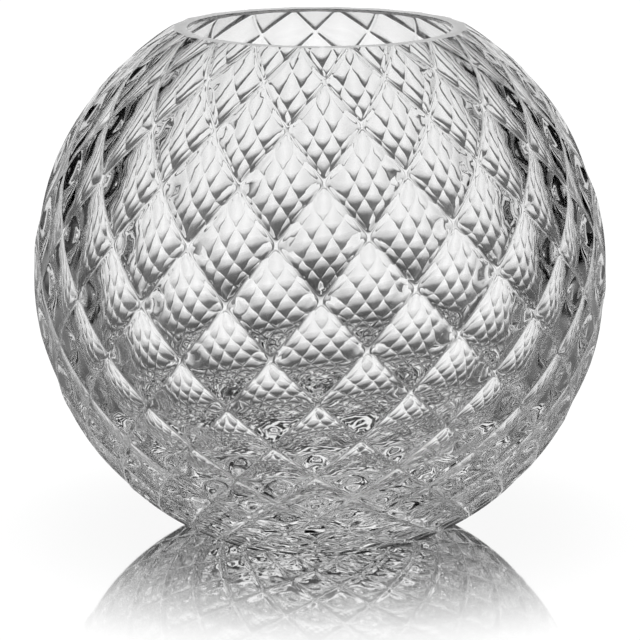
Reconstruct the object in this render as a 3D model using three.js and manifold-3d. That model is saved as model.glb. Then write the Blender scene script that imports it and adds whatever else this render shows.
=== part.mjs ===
// A ball vase of clear crystal glass, blown in one piece. The outside is a quilt of hollow
// diamonds between raised ridges, the inside is smooth, and the mouth and the foot are cut
// off level and polished. Millimetres and degrees, +Z up. The origin is the middle of the
// foot and the front faces -Y.

import * as THREE from 'three';
import { mergeVertices } from 'three/addons/utils/BufferGeometryUtils.js';
import Module from 'manifold-3d';

const wasm = await Module();
wasm.setup();

// The ball, measured over the ridges
const ballRadius = 90; // at its widest
const ballHalfHeight = 89.3; // from its middle to its top, had the mouth not been cut
const mouthRadius = 45.5; // outer edge of the cut rim
const footRadius = 34.5; // edge of the flat it stands on

// Thickness of the glass under the ridges
const rimWall = 2.6; // square to the wall
const bellyWall = 4.5;
const floorThickness = 8; // in the middle of the foot
const arrisHeight = 0.4; // the polished edge inside the mouth

// The quilt. A row is half a diamond high, and latitudes count from the ball's middle
const columns = 20; // diamonds round the ball
const hollowCurve = 35; // radius of a hollow, measured from the ball's own curve
const hollowLeftAtRim = 0.4; // share of a hollow's depth left where the neck was drawn in
const hollowFadesOver = 30; // degrees below the rim where that begins
const tallestRow = 11.1; // degrees
const tallestRowLatitude = 28.3; // of a row with a crossing at the front
const rowNarrowing = 0.8; // how fast rows narrow away from there
const lean = 6; // degrees by which a row climbs, at most, from the middle to the +X side
const mostLeanLatitude = -20;
const twist = 0.03; // degrees that the columns turn for each degree they rise

// How finely the curves are cut into facets
const stepsPerDiamond = 3; // along each side of a diamond
const wallRings = 18; // up the smooth inside

const cutAllowance = 1; // how far the shapes run on past what cuts them

const radians = THREE.MathUtils.degToRad;
const degrees = THREE.MathUtils.radToDeg;
const mouthLatitude = degrees(Math.acos(mouthRadius / ballRadius));
const footLatitude = -degrees(Math.acos(footRadius / ballRadius));
const footDepth = -ballHalfHeight * Math.sin(radians(footLatitude));
const totalHeight = footDepth + ballHalfHeight * Math.sin(radians(mouthLatitude));
const pointsRound = columns * stepsPerDiamond;

// Latitude of a row, counted down from the tallest. A row's height goes by the cosine of
// how far it is from there, so the sum of the rows goes by the Gudermannian function
function rowLatitude(row) {
  const rowsAway = rowNarrowing * radians(tallestRow) * row;
  const turned = 2 * Math.atan(Math.tanh(rowsAway / 2));
  return tallestRowLatitude - degrees(turned) / rowNarrowing;
}

// Height of the row at a latitude, in degrees
function rowHeightAt(latitude) {
  return tallestRow * Math.cos(rowNarrowing * radians(latitude - tallestRowLatitude));
}

// How far the row at a latitude climbs on its way to the side, in degrees
function leanAt(latitude) {
  return lean * Math.cos(radians(latitude - mostLeanLatitude));
}

// Depth of a hollow's middle, from the distance between its opposite ridges
function hollowDepthAt(latitude) {
  const halfWidth = (Math.PI * ballRadius * Math.cos(radians(latitude))) / columns;
  const halfHeight = ballRadius * radians(rowHeightAt(latitude));
  const span = (2 * halfWidth * halfHeight) / Math.hypot(halfWidth, halfHeight);
  const fadesFrom = mouthLatitude - hollowFadesOver;
  const nearRim = THREE.MathUtils.smoothstep(latitude, fadesFrom, mouthLatitude);
  const share = THREE.MathUtils.lerp(1, hollowLeftAtRim, nearRim);
  return (share * span ** 2) / (8 * hollowCurve);
}

// Goes from 0 on a ridge to 1 in the middle between two ridges, on a smooth curve
function awayFromRidge(across) {
  const part = across - Math.floor(across);
  return 4 * part * (1 - part);
}

// A point of the outside. Column counts diamonds round the ball, and row counts rows down
function quiltPoint(column, row) {
  const level = rowLatitude(row);
  const turn = (2 * Math.PI * column) / columns + radians(twist * level);
  const latitude = level + leanAt(level) * Math.sin(turn);
  const hollow = awayFromRidge(column + row / 2) * awayFromRidge(column - row / 2);
  const size = 1 - (hollow * hollowDepthAt(latitude)) / ballRadius;
  const out = size * ballRadius * Math.cos(radians(latitude));
  const up = size * ballHalfHeight * Math.sin(radians(latitude));
  return [out * Math.sin(turn), -out * Math.cos(turn), footDepth + up];
}

// The rings of points, from above the mouth to below the foot, as numbers counted down
// from the tallest row
function quiltRings() {
  const rings = [0];
  const latitudeOf = (ring) => rowLatitude(ring / stepsPerDiamond);
  while (latitudeOf(rings[0]) - leanAt(latitudeOf(rings[0])) < mouthLatitude + cutAllowance) {
    rings.unshift(rings[0] - 1);
  }
  while (latitudeOf(rings.at(-1)) + leanAt(latitudeOf(rings.at(-1))) > footLatitude - cutAllowance) {
    rings.push(rings.at(-1) + 1);
  }
  return rings;
}

// The outside as one closed skin. Each ring is turned half a step from the one above, so
// that facet edges run along every ridge
function quiltGeometry() {
  const positions = [];
  const triangles = [];
  const rings = quiltRings();
  const isTurned = (ring) => Math.abs(rings[ring] % 2);
  rings.forEach((number, ring) => {
    for (let point = 0; point < pointsRound; point++) {
      const column = (point + isTurned(ring) / 2) / stepsPerDiamond;
      positions.push(...quiltPoint(column, number / stepsPerDiamond));
    }
  });
  const top = positions.length / 3;
  const bottom = top + 1;
  positions.push(0, 0, footDepth + ballHalfHeight);
  positions.push(0, 0, footDepth - ballHalfHeight);
  const at = (ring, point) => ring * pointsRound + (point % pointsRound);
  const lastRing = rings.length - 1;
  for (let point = 0; point < pointsRound; point++) {
    triangles.push(top, at(0, point), at(0, point + 1));
    triangles.push(at(lastRing, point), bottom, at(lastRing, point + 1));
    for (let ring = 0; ring < lastRing; ring++) {
      const below = point + isTurned(ring);
      triangles.push(at(ring, point), at(ring + 1, below), at(ring, point + 1));
      triangles.push(at(ring, point + 1), at(ring + 1, below), at(ring + 1, below + 1));
    }
  }
  const geometry = new THREE.BufferGeometry();
  geometry.setAttribute('position', new THREE.Float32BufferAttribute(positions, 3));
  geometry.setIndex(triangles);
  return geometry;
}

// Thickness at a latitude, square to the wall: it thickens into the floor
function wallAt(latitude) {
  if (latitude > 0) {
    return THREE.MathUtils.lerp(bellyWall, rimWall, (latitude / mouthLatitude) ** 2);
  }
  const wallAtBottom = floorThickness + ballHalfHeight - footDepth;
  return THREE.MathUtils.lerp(bellyWall, wallAtBottom, Math.sin(radians(latitude)) ** 4);
}

// A point of the smooth inside, as distance from the axis and height
function insidePoint(latitude) {
  const out = Math.cos(radians(latitude));
  const up = Math.sin(radians(latitude));
  const outward = new THREE.Vector2(out / ballRadius, up / ballHalfHeight).normalize();
  const onBall = new THREE.Vector2(ballRadius * out, footDepth + ballHalfHeight * up);
  return onBall.addScaledVector(outward, -wallAt(latitude));
}

// Latitude at which the upper half of the inside reaches a height
function insideLatitudeAt(height) {
  let latitude = 0;
  while (insidePoint(latitude).y < height) {
    latitude += 0.01;
  }
  return latitude;
}

// The inside as a solid, which runs on past the rim
function hollowGeometry() {
  const pastRim = insideLatitudeAt(totalHeight + cutAllowance);
  const profile = [];
  for (let ring = 0; ring <= wallRings; ring++) {
    profile.push(insidePoint(THREE.MathUtils.lerp(-90, pastRim, ring / wallRings)));
  }
  profile[0].x = 0;
  profile.push(new THREE.Vector2(0, profile.at(-1).y));
  return new THREE.LatheGeometry(profile, pointsRound).rotateX(Math.PI / 2);
}

// The straight polished edge inside the rim: a bore as wide as the inside is at its foot
function boreGeometry() {
  const edgeFoot = totalHeight - arrisHeight;
  const radius = insidePoint(insideLatitudeAt(edgeFoot)).x;
  const height = arrisHeight + cutAllowance;
  const bore = new THREE.CylinderGeometry(radius, radius, height, pointsRound);
  return bore.rotateX(Math.PI / 2).translate(0, 0, edgeFoot + height / 2);
}

// What is left after the mouth and the foot are cut level
function cutGeometry() {
  const width = 3 * ballRadius;
  return new THREE.BoxGeometry(width, width, totalHeight).translate(0, 0, totalHeight / 2);
}

// A closed geometry as a solid: shared points merged, flat triangles left out
function solid(geometry) {
  geometry.deleteAttribute('normal');
  geometry.deleteAttribute('uv');
  const merged = mergeVertices(geometry, 1e-3);
  const triVerts = [];
  for (let corner = 0; corner < merged.index.count; corner += 3) {
    const [a, b, c] = merged.index.array.slice(corner, corner + 3);
    if (a !== b && b !== c && c !== a) {
      triVerts.push(a, b, c);
    }
  }
  const vertProperties = merged.getAttribute('position').array;
  return new wasm.Manifold(
    new wasm.Mesh({ numProp: 3, vertProperties, triVerts: Uint32Array.from(triVerts) })
  );
}

function geometryOf(body) {
  const mesh = body.getMesh();
  const geometry = new THREE.BufferGeometry();
  geometry.setAttribute('position', new THREE.BufferAttribute(mesh.vertProperties, 3));
  geometry.setIndex(new THREE.BufferAttribute(mesh.triVerts, 1));
  geometry.computeVertexNormals();
  return geometry;
}

function glassBody() {
  const blown = solid(quiltGeometry()).subtract(solid(hollowGeometry()));
  const cut = blown.intersect(solid(cutGeometry())).subtract(solid(boreGeometry()));
  const crystal = new THREE.MeshStandardMaterial({
    color: '#f2f5f5',
    roughness: 0.03,
    metalness: 0,
    transparent: true,
    opacity: 0.35,
    flatShading: true,
  });
  const mesh = new THREE.Mesh(geometryOf(cut), crystal);
  mesh.name = 'glass_body';
  return mesh;
}

const vase = new THREE.Group();
vase.add(glassBody());

export default vase;
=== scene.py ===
# %% [markdown]
# A ball vase of clear crystal, blown in one piece and quilted all over with hollow diamonds.
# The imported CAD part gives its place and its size. This lesson makes the fine glass skin
# around that frame, then the glass itself, and then the white studio that the glass bends.

import math

import bpy
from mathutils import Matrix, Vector


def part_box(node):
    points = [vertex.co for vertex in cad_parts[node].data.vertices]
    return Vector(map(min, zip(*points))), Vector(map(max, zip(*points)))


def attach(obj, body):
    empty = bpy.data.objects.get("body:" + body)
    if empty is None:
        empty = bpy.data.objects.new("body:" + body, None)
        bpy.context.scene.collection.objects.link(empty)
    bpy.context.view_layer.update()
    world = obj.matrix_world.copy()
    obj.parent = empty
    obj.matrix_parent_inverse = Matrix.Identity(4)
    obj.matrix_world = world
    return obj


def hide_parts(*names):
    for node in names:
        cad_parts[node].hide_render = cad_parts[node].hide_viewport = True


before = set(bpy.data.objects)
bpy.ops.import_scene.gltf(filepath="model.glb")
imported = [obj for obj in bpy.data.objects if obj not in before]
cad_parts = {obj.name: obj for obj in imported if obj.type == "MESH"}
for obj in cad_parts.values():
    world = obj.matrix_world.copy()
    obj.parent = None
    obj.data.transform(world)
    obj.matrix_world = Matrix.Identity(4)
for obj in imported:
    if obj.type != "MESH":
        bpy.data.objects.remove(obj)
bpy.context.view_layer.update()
low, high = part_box("glass_body")
print("glass body, mm:", [round(1000 * side, 2) for side in high - low])

# %% [markdown]
# The real vase starts as one gather of glass, blown into a mould with crossing ridges, and
# its mouth and foot are then ground level. Its size comes from the frame: the beads on the
# ridges touch the frame's narrowest side, so the skin stays inside the CAD part's box.

# %% The ball, in metres and radians
MM = 0.001

rib_height = 0.14 * MM
ball_radius = min(-low.x, high.x, -low.y, high.y) - rib_height
height = high.z
mouth_radius = 45.5 * MM
foot_radius = 34.5 * MM

mouth_latitude = math.acos(mouth_radius / ball_radius)
foot_latitude = -math.acos(foot_radius / ball_radius)
half_height = height / (math.sin(mouth_latitude) - math.sin(foot_latitude))
centre_height = -half_height * math.sin(foot_latitude)

print("ball, mm:", round(ball_radius / MM, 2), "by", round(half_height / MM, 2))
print("its middle stands", round(centre_height / MM, 2), "mm above the foot")

# %% [markdown]
# Shapes and materials are both trees of nodes. One helper builds them all: it adds a node,
# gives it its settings, and feeds its sockets with numbers or with other nodes. A formula
# of many Math nodes then reads almost as it would on paper.

# %% One helper for all nodes
def add(tree, kind, *values, **settings):
    """Adds a node. A kind in capitals is an operation of the Math node.

    Values feed the sockets in order, or by name if they come as a dictionary, and None
    leaves a socket alone.
    """
    if kind.isupper():
        kind, settings["operation"] = "ShaderNodeMath", kind
    node = tree.nodes.new(kind)
    for name, value in settings.items():
        setattr(node, name, value)
    feeds = values[0] if values and isinstance(values[0], dict) else dict(enumerate(values))
    for socket, value in feeds.items():
        if isinstance(value, bpy.types.Node):
            value = value.outputs[0]
        if isinstance(value, bpy.types.NodeSocket):
            tree.links.new(value, node.inputs[socket])
        elif value is not None:
            node.inputs[socket].default_value = value
    return node


# %% [markdown]
# A geometry tree gets one named input for each size, so that it can be tuned by hand in
# Blender afterwards. To use it here it runs once, on an empty mesh, and what it makes is
# kept as a plain mesh.

# %% A tree with named inputs
def new_tree(name, inputs):
    """An empty geometry tree. An input without a value takes a material."""
    tree = bpy.data.node_groups.new(name, "GeometryNodeTree")
    tree.interface.new_socket("Geometry", in_out="INPUT", socket_type="NodeSocketGeometry")
    for label, value in inputs.items():
        kind = "NodeSocketMaterial" if value is None else "NodeSocketFloat"
        tree.interface.new_socket(label, in_out="INPUT", socket_type=kind)
    tree.interface.new_socket("Geometry", in_out="OUTPUT", socket_type="NodeSocketGeometry")
    return tree


# %% What a tree makes, as an object
def run_tree(tree, name, inputs):
    holder = bpy.data.objects.new(name + "_tree", bpy.data.meshes.new(name + "_tree"))
    bpy.context.scene.collection.objects.link(holder)
    modifier = holder.modifiers.new("shape", "NODES")
    modifier.node_group = tree
    for item in tree.interface.items_tree:
        if item.in_out == "INPUT" and item.name in inputs:
            modifier[item.identifier] = inputs[item.name]
    evaluated = holder.evaluated_get(bpy.context.evaluated_depsgraph_get())
    mesh = bpy.data.meshes.new_from_object(evaluated)
    mesh.name = name
    bpy.data.objects.remove(holder)
    made = bpy.data.objects.new(name, mesh)
    bpy.context.scene.collection.objects.link(made)
    print(name, "has", sum(len(face.vertices) - 2 for face in mesh.polygons), "triangles")
    return made


# %% [markdown]
# The quilt is two families of ridges that climb round the ball, one to the left and one to
# the right, with a hollow diamond in every gap. It could be sculpted diamond by diamond,
# but it follows a rule, so the rule is written down: how many diamonds go round, how tall
# they are at each latitude, and how deep they are blown. Widths, softnesses and joints are
# shares of the way from one ridge to the next. The depth left at the rim, the extra depth
# at the foot and the extra thickness behind crossings are shares of a hollow's depth.

# %% Rules of the quilt
COLUMNS = 20

quilt_rules = {
    "Tallest row": math.radians(11.1),
    "Tallest row latitude": math.radians(28.3),
    "Row narrowing": 0.8,
    "Lean": math.radians(6),
    "Most lean latitude": math.radians(-20),
    "Twist": 0.03,
    "Hollow depth": 1.72 * MM,
    "Depth left at rim": 0.4,
    "Deeper at foot": 0.5,
    "Thicker behind crossings": 0.67,
    "Rib height": rib_height,
    "Rib width": 0.045,
    "Rib rise at foot": 0.7 * MM,
    "Rib spread at foot": 0.03,
    "Ridge softness": 0.012,
    "Inside softness": 0.1,
    "Joint length": 0.02,
    "Joint sharpness": 0.02,
}

diamond_width = 2 * math.pi * ball_radius / COLUMNS
print("a diamond is", round(diamond_width / MM, 2), "mm wide at the ball's widest")

# %% [markdown]
# The skin starts as a flat grid that is later wrapped round the ball: its columns are
# counted across and its rows down from the tallest one. Two slanting coordinates, u and v,
# are whole numbers on the ridges, and each quad is cut along the diagonal on which v stays
# the same, so that facet edges run along the ridges of both families.

# %% The flat grid
TOP_ROW = -4
BOTTOM_ROW = 18


def flat_grid(tree, steps):
    """The grid, its column and row, which points close up at a pole, and at which pole."""
    rows = BOTTOM_ROW - TOP_ROW
    quads = add(
        tree, "GeometryNodeMeshGrid", COLUMNS, rows, COLUMNS * steps + 1, rows * steps + 1
    )
    grid = add(tree, "GeometryNodeTriangulate", quads, quad_method="FIXED_ALTERNATE")
    place = add(tree, "ShaderNodeSeparateXYZ", add(tree, "GeometryNodeInputPosition"))
    column, up = place.outputs["X"], place.outputs["Y"]
    row = add(tree, "SUBTRACT", (TOP_ROW + BOTTOM_ROW) / 2, up)
    last_line = rows / 2 - 0.5 / steps
    at_end = add(tree, "GREATER_THAN", add(tree, "ABSOLUTE", up), last_line)
    pole = add(tree, "MULTIPLY", add(tree, "SIGN", up), math.pi / 2)
    return grid, column, row, at_end, pole


print("the quilt is laid out on", COLUMNS, "columns and", BOTTOM_ROW - TOP_ROW, "rows")

# %% [markdown]
# Glass bends sharply at a ridge and hardly at all in a hollow. Evenly spaced points would
# be too few on the ridges and wasted between them, so they are gathered at the ridges.

# %% Points gathered near the ridges
GATHERING = 3  # how late the points begin to spread out, going away from a ridge


def gathered(tree, along, near_pace):
    """Moves evenly spaced points towards the ridges, the closer the smaller near_pace is."""
    ridge = add(tree, "ROUND", along)
    off = add(tree, "MULTIPLY", add(tree, "SUBTRACT", along, ridge), 2)
    late = add(tree, "POWER", add(tree, "ABSOLUTE", off), GATHERING)
    pace = add(tree, "MULTIPLY_ADD", late, 0.5 - near_pace, near_pace)
    return add(tree, "MULTIPLY_ADD", off, pace, ridge)


# %% [markdown]
# Where the grid goes on the ball. The rows are tallest above the middle. They lean to one
# side, and the columns twist a little as they climb, because the mould was not quite square
# to the gather. At each crossing the two ridges run together for a short way. The heights
# of the rows go by a cosine, so their sum goes by the Gudermannian function, which is an
# arc tangent of a hyperbolic tangent.

# %% Latitude of a row
def joined(tree, row, rule):
    """Moves the rows so that two ridges that cross run together, up and down."""
    past = add(tree, "SUBTRACT", row, add(tree, "ROUND", row))
    pull = add(tree, "TANH", add(tree, "DIVIDE", past, rule["Joint sharpness"]))
    slack = add(tree, "MULTIPLY_ADD", past, -2, pull)
    return add(tree, "MULTIPLY_ADD", slack, rule["Joint length"], row)


def row_latitude(tree, row, rule):
    pace = add(tree, "MULTIPLY", rule["Row narrowing"], rule["Tallest row"])
    away = add(tree, "MULTIPLY", row, add(tree, "MULTIPLY", pace, 0.5))
    half_turn = add(tree, "ARCTANGENT", add(tree, "TANH", away))
    drop = add(tree, "DIVIDE", add(tree, "MULTIPLY", half_turn, 2), rule["Row narrowing"])
    return add(tree, "SUBTRACT", rule["Tallest row latitude"], drop)


# %% Every point's latitude and turn
def quilt(tree, rule, steps, near_pace):
    """The grid, its points' latitude and turn round the axis, and u and v."""
    grid, x, row, at_end, pole = flat_grid(tree, steps)
    u = gathered(tree, x, near_pace)
    v = gathered(tree, add(tree, "SUBTRACT", x, row), near_pace)
    column = add(tree, "MULTIPLY", add(tree, "ADD", u, v), 0.5)
    level = row_latitude(tree, joined(tree, add(tree, "SUBTRACT", u, v), rule), rule)

    twisted = add(tree, "MULTIPLY", level, rule["Twist"])
    turn = add(tree, "MULTIPLY_ADD", column, 2 * math.pi / COLUMNS, twisted)
    near_most = add(tree, "COSINE", add(tree, "SUBTRACT", level, rule["Most lean latitude"]))
    most = add(tree, "MULTIPLY", near_most, rule["Lean"])
    leaning = add(tree, "ADD", level, add(tree, "MULTIPLY", most, add(tree, "SINE", turn)))

    # The first and the last line of the grid close up at the poles, to be cut away
    to_pole = add(tree, "MULTIPLY", add(tree, "SUBTRACT", pole, leaning), at_end)
    return grid, add(tree, "ADD", leaning, to_pole), turn, (u, v)


# %% The grid wrapped round the ball
MERGE_QUILT = 0.001 * MM  # points closer than this become one


def wrapped(tree, grid, latitude, turn, radius, half):
    """Puts the grid's points on a ball, and closes its seam and its poles."""
    out = add(tree, "MULTIPLY", add(tree, "COSINE", latitude), radius)
    up = add(tree, "MULTIPLY", add(tree, "SINE", latitude), half)
    x = add(tree, "MULTIPLY", add(tree, "SINE", turn), out)
    y = add(tree, "MULTIPLY", add(tree, "MULTIPLY", add(tree, "COSINE", turn), out), -1)
    point = add(tree, "ShaderNodeCombineXYZ", x, y, add(tree, "ADD", up, centre_height))
    placed = add(tree, "GeometryNodeSetPosition", {"Geometry": grid, "Position": point})
    return add(
        tree, "GeometryNodeMergeByDistance", {"Geometry": placed, "Distance": MERGE_QUILT}
    )


# %% [markdown]
# Across a diamond the glass is a shallow bowl, and the ridges between the bowls are
# rounded, because hot glass never fills a mould's corners. On each ridge lies a narrow
# bead, which shows as a light band between fine dark lines.

# %% Across a ridge
RIB_SQUARENESS = 4  # a bead's flanks get steeper and its top flatter with this


def pillow(tree, across, softness):
    """Goes from 0 on a ridge, with a rounded top, to 1 halfway to the next ridge."""
    near = add(tree, "PINGPONG", across, 0.5)
    rounding = add(tree, "MULTIPLY", add(tree, "MULTIPLY_ADD", near, -2, 1), softness)
    square = add(tree, "MULTIPLY", rounding, rounding)
    reach = add(tree, "SQRT", add(tree, "MULTIPLY_ADD", near, near, square))
    inwards = add(tree, "SUBTRACT", reach, rounding)
    out = add(tree, "MULTIPLY_ADD", inwards, -2, 1)
    return add(tree, "SUBTRACT", 1, add(tree, "MULTIPLY", out, out))


def rib(tree, across, width):
    """Goes from 1 on a ridge to 0 a little way off it, as a narrow bead does."""
    near = add(tree, "DIVIDE", add(tree, "PINGPONG", across, 0.5), width)
    fall = add(tree, "MULTIPLY", add(tree, "POWER", near, RIB_SQUARENESS), -1)
    return add(tree, "EXPONENT", fall)


# %% [markdown]
# The bubble is blown out most at its middle. Towards the foot the glass stays thick and
# keeps more of the mould, with deeper hollows and higher beads. Under the rim, where the
# neck was drawn in, the hollows are shallow.

# %% Depth of the hollows
LEAST_BLOWN_FROM = math.radians(-15)
LEAST_BLOWN_TO = math.radians(-55)
DRAWN_IN_OVER = math.radians(30)
SQUARED_SHARE = 0.2  # of a hollow's depth that goes by the square of its width


def least_blown(tree, latitude):
    """Goes from 0 to 1 towards the foot, where the bubble was blown out least."""
    return add(
        tree, "ShaderNodeMapRange", latitude, LEAST_BLOWN_FROM, LEAST_BLOWN_TO, 0.0, 1.0,
        interpolation_type="SMOOTHSTEP",
    )


def hollow_depth(tree, latitude, rule):
    """Hollows get shallower where the diamonds get smaller, and under the rim."""
    narrow = add(tree, "COSINE", latitude)
    by_square = add(tree, "MULTIPLY_ADD", narrow, SQUARED_SHARE, 1 - SQUARED_SHARE)
    by_width = add(tree, "MULTIPLY", narrow, by_square)
    near_rim = add(
        tree, "ShaderNodeMapRange", latitude, mouth_latitude - DRAWN_IN_OVER, mouth_latitude,
        1, rule["Depth left at rim"], interpolation_type="SMOOTHSTEP",
    )
    kept = add(tree, "MULTIPLY_ADD", least_blown(tree, latitude), rule["Deeper at foot"], 1)
    share = add(tree, "MULTIPLY", add(tree, "MULTIPLY", by_width, kept), near_rim)
    return add(tree, "MULTIPLY", share, rule["Hollow depth"])


print("hollows at the belly are", round(quilt_rules["Hollow depth"] / MM, 2), "mm deep")

# %% [markdown]
# The outside is the ball, sunk by the hollows and raised by the beads. Its points are
# close together near the ridges, and there are enough of them for smooth edges while the
# piece stays light enough to be exported whole.

# %% The outside
OUTSIDE_STEPS = 15
OUTSIDE_PACE = 0.1


def quilted_ball(tree, rule):
    grid, latitude, turn, (u, v) = quilt(tree, rule, OUTSIDE_STEPS, OUTSIDE_PACE)
    softness = rule["Ridge softness"]
    hollow = add(tree, "MULTIPLY", pillow(tree, u, softness), pillow(tree, v, softness))
    sunk = add(tree, "MULTIPLY", hollow, hollow_depth(tree, latitude, rule))

    near_foot = least_blown(tree, latitude)
    width = add(tree, "MULTIPLY_ADD", near_foot, rule["Rib spread at foot"], rule["Rib width"])
    rise = add(tree, "MULTIPLY_ADD", near_foot, rule["Rib rise at foot"], rule["Rib height"])
    off_u, off_v = [add(tree, "SUBTRACT", 1, rib(tree, ridge, width)) for ridge in (u, v)]
    on_either = add(tree, "SUBTRACT", 1, add(tree, "MULTIPLY", off_u, off_v))
    bead = add(tree, "MULTIPLY", on_either, rise)

    depth = add(tree, "SUBTRACT", sunk, bead)
    size = add(tree, "SUBTRACT", 1, add(tree, "DIVIDE", depth, ball_radius))
    radius = add(tree, "MULTIPLY", size, ball_radius)
    half = add(tree, "MULTIPLY", size, half_height)
    return wrapped(tree, grid, latitude, turn, radius, half)


print("the outside has", COLUMNS * OUTSIDE_STEPS, "points round the ball")

# %% [markdown]
# The inside never touched the mould, so it is almost smooth, only a little thicker behind
# each crossing. It is made as a solid to take away. The wall is thinnest at the rim and
# runs into a heavy floor, as it does on any vase that has to stand firm full of water.

# %% The inside
INSIDE_STEPS = 6
INSIDE_PACE = 0.35

rim_wall = 2.6 * MM
belly_wall = 4.5 * MM
floor_thickness = 8 * MM
bottom_extra = floor_thickness + half_height - centre_height - belly_wall


def wall_thickness(tree, latitude):
    """Thins towards the rim by the square of the latitude, and thickens into the floor."""
    upper = add(tree, "MAXIMUM", latitude, 0)
    wall = add(
        tree, "ShaderNodeMapRange", add(tree, "MULTIPLY", upper, upper),
        0, mouth_latitude**2, belly_wall, rim_wall, clamp=False,
    )
    sine = add(tree, "SINE", add(tree, "MINIMUM", latitude, 0))
    square = add(tree, "MULTIPLY", sine, sine)
    return add(
        tree, "MULTIPLY_ADD", add(tree, "MULTIPLY", square, square), bottom_extra, wall
    )


def inside_ball(tree, rule):
    grid, latitude, turn, (u, v) = quilt(tree, rule, INSIDE_STEPS, INSIDE_PACE)
    softness = rule["Inside softness"]
    near_u, near_v = [add(tree, "SUBTRACT", 1, pillow(tree, ridge, softness)) for ridge in (u, v)]
    crossing = add(tree, "MULTIPLY", near_u, near_v)
    thicker = add(tree, "MULTIPLY", crossing, rule["Thicker behind crossings"])
    smooth_wall = wall_thickness(tree, latitude)
    depth = hollow_depth(tree, latitude, rule)
    wall = add(tree, "MULTIPLY_ADD", thicker, depth, smooth_wall)
    radius = add(tree, "SUBTRACT", ball_radius, wall)
    half = add(tree, "SUBTRACT", half_height, wall)
    return wrapped(tree, grid, latitude, turn, radius, half)


print("wall, mm:", [round(wall / MM, 2) for wall in (rim_wall, belly_wall, floor_thickness)])

# %% [markdown]
# Now the vase is put together in three steps: the inside is taken out, the inner edge of
# the mouth is polished straight, and the mouth and the foot are ground level. Each step is
# one Boolean. They work on closed shapes, so the finished glass is closed as well.

# %% Blown hollow
vase = new_tree("quilted_vase", dict(quilt_rules, Glass=None))
given = add(vase, "NodeGroupInput")
vase_rule = {label: given.outputs[label] for label in quilt_rules}
blown = add(
    vase, "GeometryNodeMeshBoolean",
    quilted_ball(vase, vase_rule), inside_ball(vase, vase_rule),
    operation="DIFFERENCE", solver="MANIFOLD",
)
print("wall and quilt take", len(vase.nodes), "nodes")

# %% The polished edge inside the mouth
BORE_SIDES = 160
BORE_LENGTH = 10 * MM

throat_radius = 41.16 * MM
arris_height = 0.4 * MM

bore = add(
    vase, "GeometryNodeMeshCylinder", BORE_SIDES, 1, 1, throat_radius, BORE_LENGTH,
    fill_type="NGON",
)
bore_middle = height - arris_height + BORE_LENGTH / 2
lifted_bore = add(
    vase, "GeometryNodeTransform", {"Geometry": bore, "Translation": (0, 0, bore_middle)}
)
bored = add(
    vase, "GeometryNodeMeshBoolean", blown, lifted_bore,
    operation="DIFFERENCE", solver="MANIFOLD",
)
print("throat, mm:", round(2 * throat_radius / MM, 2))

# %% Ground level at the mouth and the foot
SLAB_WIDTH = 1  # in metres, well past the vase
MERGE_CUT = 0.002 * MM  # slivers of the cuts, shorter than this, close up

slab = add(vase, "GeometryNodeMeshCube", (SLAB_WIDTH, SLAB_WIDTH, height))
lifted_slab = add(
    vase, "GeometryNodeTransform", {"Geometry": slab, "Translation": (0, 0, height / 2)}
)
cut = add(
    vase, "GeometryNodeMeshBoolean", None, bored, operation="INTERSECT", solver="MANIFOLD"
)
vase.links.new(lifted_slab.outputs[0], cut.inputs[1])
clean = add(vase, "GeometryNodeMergeByDistance", {"Geometry": cut, "Distance": MERGE_CUT})
print("cut to a height of", round(height / MM, 2), "mm")

# %% [markdown]
# Blown glass is smooth everywhere, and crisp only where it was cut. An edge is kept crisp
# if it lies in the plane of the rim or of the foot, or if its faces meet steeply.

# %% Smooth skin, crisp cuts
CRISP_ANGLE = math.radians(38)
CUT_REACH = 0.01 * MM

smooth = add(
    vase, "GeometryNodeSetShadeSmooth", {"Geometry": clean, "Shade Smooth": True},
    domain="FACE",
)
is_steep = add(vase, "GREATER_THAN", add(vase, "GeometryNodeInputMeshEdgeAngle"), CRISP_ANGLE)
at_edge = add(vase, "ShaderNodeSeparateXYZ", add(vase, "GeometryNodeInputPosition"))
from_middle = add(vase, "ABSOLUTE", add(vase, "SUBTRACT", at_edge.outputs["Z"], height / 2))
at_cut = add(vase, "GREATER_THAN", from_middle, height / 2 - CUT_REACH)
crisp = add(
    vase, "GeometryNodeSetShadeSmooth",
    {
        "Geometry": smooth,
        "Selection": add(vase, "MAXIMUM", is_steep, at_cut),
        "Shade Smooth": False,
    },
    domain="EDGE",
)
real = add(vase, "GeometryNodeRealizeInstances", crisp)
finished = add(
    vase, "GeometryNodeSetMaterial", {"Geometry": real, "Material": given.outputs["Glass"]}
)
add(vase, "NodeGroupOutput", finished)
print("the tree has", len(vase.nodes), "nodes")

# %% [markdown]
# Every colour below is written as it would be picked on a screen, and turned into the
# linear light that the shaders work with.

# %% Colours
def linear(code):
    """A linear colour from an sRGB hex code, by the formula of the sRGB standard."""
    parts = [int(code[start : start + 2], 16) / 255 for start in (1, 3, 5)]
    return [p / 12.92 if p <= 0.04045 else ((p + 0.055) / 1.055) ** 2.4 for p in parts] + [1]


print("a mid grey of the screen is", round(linear("#808080")[0], 3), "in linear light")

# %% [markdown]
# Crystal is almost colourless glass with a high refractive index. Blown glass keeps the
# smooth skin that the fire gave it, so it is as clear as water and perfectly sharp, with
# only faint waves. The waves are far too shallow to model, so they are a bump.

# %% Fire-polished crystal
WAVE_LENGTH = 16.6667 * MM
WAVE_DEPTH = 0.1 * MM
WAVE_STRENGTH = 0.1
CRYSTAL_IOR = 1.52

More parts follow.
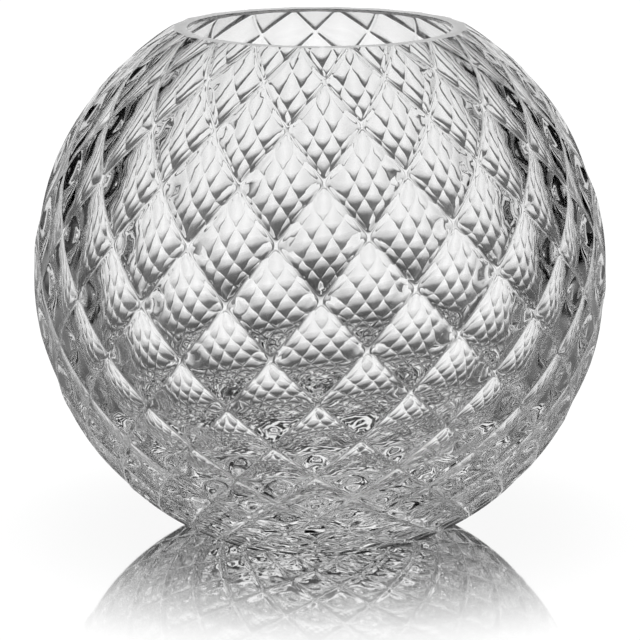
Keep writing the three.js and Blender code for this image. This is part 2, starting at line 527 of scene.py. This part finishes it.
crystal = bpy.data.materials.new("fire_polished_crystal")
crystal.use_nodes = True
skin = crystal.node_tree
skin.nodes.clear()
at_point = add(skin, "ShaderNodeTexCoord").outputs["Object"]
waves = add(
    skin, "ShaderNodeTexNoise",
    {"Vector": at_point, "Scale": 1 / WAVE_LENGTH, "Detail": 1.0},
)
bump = add(
    skin, "ShaderNodeBump",
    {"Strength": WAVE_STRENGTH, "Distance": WAVE_DEPTH, "Height": waves},
)
glass = add(
    skin, "ShaderNodeBsdfPrincipled",
    {
        "Base Color": linear("#fefefe"),
        "Roughness": 0.0,
        "IOR": CRYSTAL_IOR,
        "Transmission Weight": 1.0,
        "Normal": bump,
    },
)
add(skin, "ShaderNodeOutputMaterial", glass)
print("waves in the glass are about", round(WAVE_LENGTH / MM), "mm long")

# %% The glass body
glass_body = run_tree(vase, "vase_glass", dict(quilt_rules, Glass=crystal))
print("its materials:", [material.name for material in glass_body.data.materials])
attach(glass_body, "root")
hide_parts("glass_body")

# %% [markdown]
# Glass has no look of its own: it shows what stands round it, bent. For a product picture
# it is lit from behind, by one white backdrop that falls off towards its edges. What is
# dark beside and above the backdrop draws the dark outlines in the glass. One panel at the
# side and two behind the camera light the glass for other views. Straight past the glass
# the room is plain white. Headings are angles from straight behind the vase.

# %% The heading and height of what is seen
world = bpy.data.worlds.new("white_studio")
bpy.context.scene.world = world
world.use_nodes = True
sky = world.node_tree
sky.nodes.clear()
direction = add(sky, "ShaderNodeTexCoord").outputs["Generated"]
split = add(sky, "ShaderNodeSeparateXYZ", direction)
heading = add(sky, "ARCTAN2", split.outputs["X"], split.outputs["Y"])
off_axis = add(sky, "ABSOLUTE", heading)

# %% The panels, in degrees
PANEL_SOFT_EDGE = 4  # to either side of a panel's edge
BACKDROP_FALLS_OVER = 34
BACKDROP_MIDDLE_LEVEL = 1.07
BACKDROP_EDGE_LEVEL = 0.7

backdrop_panel = {"middle": 0, "half_width": 31, "level": 1.0}
side_panel = {"middle": -92, "half_width": 14, "level": 0.75}
rear_panels = {"middle": 135, "half_width": 20, "level": 0.85}


def panel(along, middle, half_width, level):
    """An upright panel of light, white inside and dark outside its soft edges."""
    off = add(sky, "ABSOLUTE", add(sky, "SUBTRACT", along, math.radians(middle)))
    inner = math.radians(half_width - PANEL_SOFT_EDGE)
    outer = math.radians(half_width + PANEL_SOFT_EDGE)
    return add(
        sky, "ShaderNodeMapRange", off, inner, outer, level, 0.0,
        interpolation_type="SMOOTHSTEP",
    )


falloff = add(
    sky, "ShaderNodeMapRange", off_axis,
    0.0, math.radians(BACKDROP_FALLS_OVER), BACKDROP_MIDDLE_LEVEL, BACKDROP_EDGE_LEVEL,
)
backdrop = add(sky, "MULTIPLY", panel(heading, **backdrop_panel), falloff)
at_side = panel(heading, **side_panel)
behind_camera = panel(off_axis, **rear_panels)
for name, sizes in {"backdrop": backdrop_panel, "side": side_panel, "rear": rear_panels}.items():
    print(name, "panel:", 2 * sizes["half_width"], "degrees wide")

# %% The dim room, the dark ceiling, and plain white straight ahead
ROOM_FROM = math.radians(86)
ROOM_TO = math.radians(94)
ROOM_LEVEL = 0.05
CEILING_FROM = 0.24  # as the sine of its height above the horizon
CEILING_TO = 0.36
CEILING_LEVEL = 0.02
STRAIGHT_LEVEL = 1.08

room = add(
    sky, "ShaderNodeMapRange", off_axis, ROOM_FROM, ROOM_TO, 0.0, ROOM_LEVEL,
    interpolation_type="SMOOTHSTEP",
)
panels = add(sky, "MAXIMUM", backdrop, add(sky, "MAXIMUM", at_side, behind_camera))
ceiling = add(
    sky, "ShaderNodeMapRange", split.outputs["Z"], CEILING_FROM, CEILING_TO, 1.0, CEILING_LEVEL,
    interpolation_type="SMOOTHSTEP",
)
through_glass = add(sky, "MULTIPLY", add(sky, "MAXIMUM", panels, room), ceiling)

# A ray is singular once clear glass has bent or mirrored it. One that comes straight from
# the camera, or off the blurred mirror of the table, isn't
is_bent = add(sky, "ShaderNodeLightPath").outputs["Is Singular Ray"]
straight = add(sky, "MULTIPLY", add(sky, "SUBTRACT", 1, is_bent), STRAIGHT_LEVEL)
strength = add(sky, "MAXIMUM", through_glass, straight)
light = add(sky, "ShaderNodeBackground", {"Color": linear("#ffffff"), "Strength": strength})
add(sky, "ShaderNodeOutputWorld", light)
print("white straight past the glass:", STRAIGHT_LEVEL)

# %% [markdown]
# The table is white gloss acrylic. Beside the vase it mirrors the vase, less and less with
# distance, until it is plain white like the room. The mirror is faintly blurred, as it is
# on a sheet that has been wiped many times.

# %% White gloss acrylic, seen past the glass
MIRROR_FROM = 52 * MM
MIRROR_TO = 145 * MM
MIRROR_MOST = 0.97
MIRROR_BLUR = 0.04
TABLE_WHITE = 0.45  # as the outside of the glass reflects it
TABLE_WHITER = 0.61  # added where the camera sees the table itself

acrylic = bpy.data.materials.new("white_gloss_acrylic")
acrylic.use_nodes = True
table = acrylic.node_tree
table.nodes.clear()
on_table = add(table, "ShaderNodeTexCoord").outputs["Object"]
distance = add(table, "ShaderNodeVectorMath", on_table, operation="LENGTH").outputs["Value"]
mirror_share = add(
    table, "ShaderNodeMapRange", distance, MIRROR_FROM, MIRROR_TO, MIRROR_MOST, 0.0,
    interpolation_type="SMOOTHSTEP",
)
path = add(table, "ShaderNodeLightPath")
whiteness = add(
    table, "MULTIPLY_ADD", path.outputs["Is Camera Ray"], TABLE_WHITER, TABLE_WHITE
)
white = add(table, "ShaderNodeEmission", {"Strength": whiteness})
mirror = add(
    table, "ShaderNodeBsdfGlossy", {"Color": linear("#efefef"), "Roughness": MIRROR_BLUR}
)
beside_glass = add(table, "ShaderNodeMixShader", mirror_share, white, mirror)
print("the mirror fades out", round(MIRROR_TO / MM), "mm from the middle")

# %% [markdown]
# Through the glass, the table under and behind the vase shows painted caustics and shadow
# of the vase, a fine pattern of light and dark: rings of it run round the vase, and the
# thick foot breaks up what it bends. The pattern is patches in patches, down to a
# sixteenth of the largest, or about 2 mm. Further off the table is a dark grey of painted
# shade, darkest near the vase, that shines more and more, as a polished sheet does at a
# low angle.

# %% Painted caustics and shadow of the vase on the table
LARGEST_CAUSTIC_PATCH = 31.25 * MM
CAUSTIC_RING_SPACING = 10.472 * MM
RINGS_AT_SCALE_1 = 20 / (2 * math.pi)  # the rings in a metre of Wave texture at scale 1
CAUSTIC_RING_SHARE = 0.25
CAUSTICS_DARK = 0.585
CAUSTICS_LIGHT = 0.72
CAUSTICS_LEVEL = 0.95

# Patches of painted caustics and shadow of the vase, light and dark
painted_caustics = add(
    table, "ShaderNodeTexNoise",
    {
        "Vector": on_table, "Scale": 1 / LARGEST_CAUSTIC_PATCH,
        "Detail": 4.0, "Roughness": 0.5, "Distortion": 3.0,
    },
)
# Rings of painted caustics and shadow round the vase
caustic_rings = add(
    table, "ShaderNodeTexWave",
    {
        "Vector": on_table, "Scale": 1 / (CAUSTIC_RING_SPACING * RINGS_AT_SCALE_1),
        "Distortion": 14.0, "Detail": 2.0, "Detail Scale": 0.6,
    },
    wave_type="RINGS", rings_direction="Z",
)
caustics_with_rings = add(table, "MULTIPLY_ADD", caustic_rings.outputs["Fac"], CAUSTIC_RING_SHARE, painted_caustics)
painted_caustics_level = add(table, "ShaderNodeMapRange", caustics_with_rings, CAUSTICS_DARK, CAUSTICS_LIGHT, 0.0, CAUSTICS_LEVEL)
# The printed spacing is that of the rings of painted caustics and shadow
print("wiping strokes are about", round(CAUSTIC_RING_SPACING / MM), "mm apart")

# %% White gloss acrylic, seen through the glass, with painted shade
CAUSTICS_FADE_FROM = 90 * MM
CAUSTICS_FADE_TO = 130 * MM
SHADE_FADE_TO = 300 * MM
# Painted shade: the table's grey near the vase and far from it
SHADE_GREY_NEAR = 0.08
SHADE_GREY_FAR = 0.3
SHINE_FROM = 110 * MM
SHINE_TO = 600 * MM
SHINE_POWER = 0.75

# Between these distances the painted caustics and shadow fade into the painted shade
past_painted_caustics = add(
    table, "ShaderNodeMapRange", distance, CAUSTICS_FADE_FROM, CAUSTICS_FADE_TO, 0.0, 1.0,
    interpolation_type="SMOOTHSTEP",
)
# Painted shade, darkest next to the vase and lighter further off
painted_shade_grey = add(table, "ShaderNodeMapRange", distance, CAUSTICS_FADE_TO, SHADE_FADE_TO, SHADE_GREY_NEAR, SHADE_GREY_FAR)
painted_light_and_shade = add(table, "MULTIPLY_ADD", add(table, "SUBTRACT", painted_shade_grey, painted_caustics_level), past_painted_caustics, painted_caustics_level)
# The table glows with this painted light and shade, seen only through the glass
painted_glow = add(table, "ShaderNodeEmission", {"Strength": painted_light_and_shade})
outward = add(table, "ShaderNodeMapRange", distance, SHINE_FROM, SHINE_TO, 0.0, 1.0)
shine = add(table, "POWER", outward, SHINE_POWER)
sharp = add(table, "ShaderNodeBsdfGlossy", {"Color": linear("#ffffff"), "Roughness": 0.0})
behind_glass = add(table, "ShaderNodeMixShader", shine, painted_glow, sharp)

# A ray that has gone through any glass at all sees the table's painted shade, caustics and shadow
is_through = add(table, "GREATER_THAN", path.outputs["Transmission Depth"], 0.5)
surface = add(table, "ShaderNodeMixShader", is_through, beside_glass, behind_glass)
add(table, "ShaderNodeOutputMaterial", surface)
# The printed distance is where the painted caustics and shadow end
print("the grain ends", round(CAUSTICS_FADE_TO / MM), "mm from the middle")

# %% The table top
TABLE_RADIUS = 4  # in metres, past all that the glass shows of it
TABLE_SIDES = 128

bpy.ops.mesh.primitive_circle_add(
    vertices=TABLE_SIDES, radius=TABLE_RADIUS, fill_type="NGON", location=(0, 0, 0)
)
floor = bpy.context.object
floor.name = "floor"
floor.data.materials.append(acrylic)
print("the table runs", TABLE_RADIUS, "m to every side")

# %% [markdown]
# The camera stands well back with a long lens, as for a product photograph, so that the
# ball isn't stretched, and it looks down just enough to show the mouth.

# %% The camera
camera_distance = 1080 * MM
camera_elevation = math.radians(12.1)
camera_lens = 193.4  # lens and sensor are given in millimetres, not in metres
sensor_width = 36
aim_below_ball = 15.6 * MM

ball_middle = Vector((0, 0, centre_height))
back = Vector((0, -math.cos(camera_elevation), math.sin(camera_elevation)))
upward = Vector((0, math.sin(camera_elevation), math.cos(camera_elevation)))
camera = bpy.data.objects.new("camera", bpy.data.cameras.new("camera"))
bpy.context.scene.collection.objects.link(camera)
camera.data.lens = camera_lens
camera.data.sensor_width = sensor_width
camera.location = ball_middle + back * camera_distance
aim = ball_middle - upward * aim_below_ball - camera.location
camera.rotation_euler = aim.to_track_quat("-Z", "Y").to_euler()
bpy.context.scene.camera = camera
print("the camera stands at, mm:", [round(side / MM) for side in camera.location])

# %% [markdown]
# A ray that crosses a hollow ball of glass meets four surfaces at least, and many more
# where it bounces inside the wall. It has to be followed to its end, or it turns black.

# %% Light paths and view
MOST_SURFACES = 32
MOST_MIRRORINGS = 16

scene = bpy.context.scene
scene.view_settings.view_transform = "Standard"
scene.cycles.max_bounces = MOST_SURFACES
scene.cycles.transmission_bounces = MOST_SURFACES
scene.cycles.glossy_bounces = MOST_MIRRORINGS
scene.cycles.use_denoising = True
print("a ray is followed through", MOST_SURFACES, "surfaces")
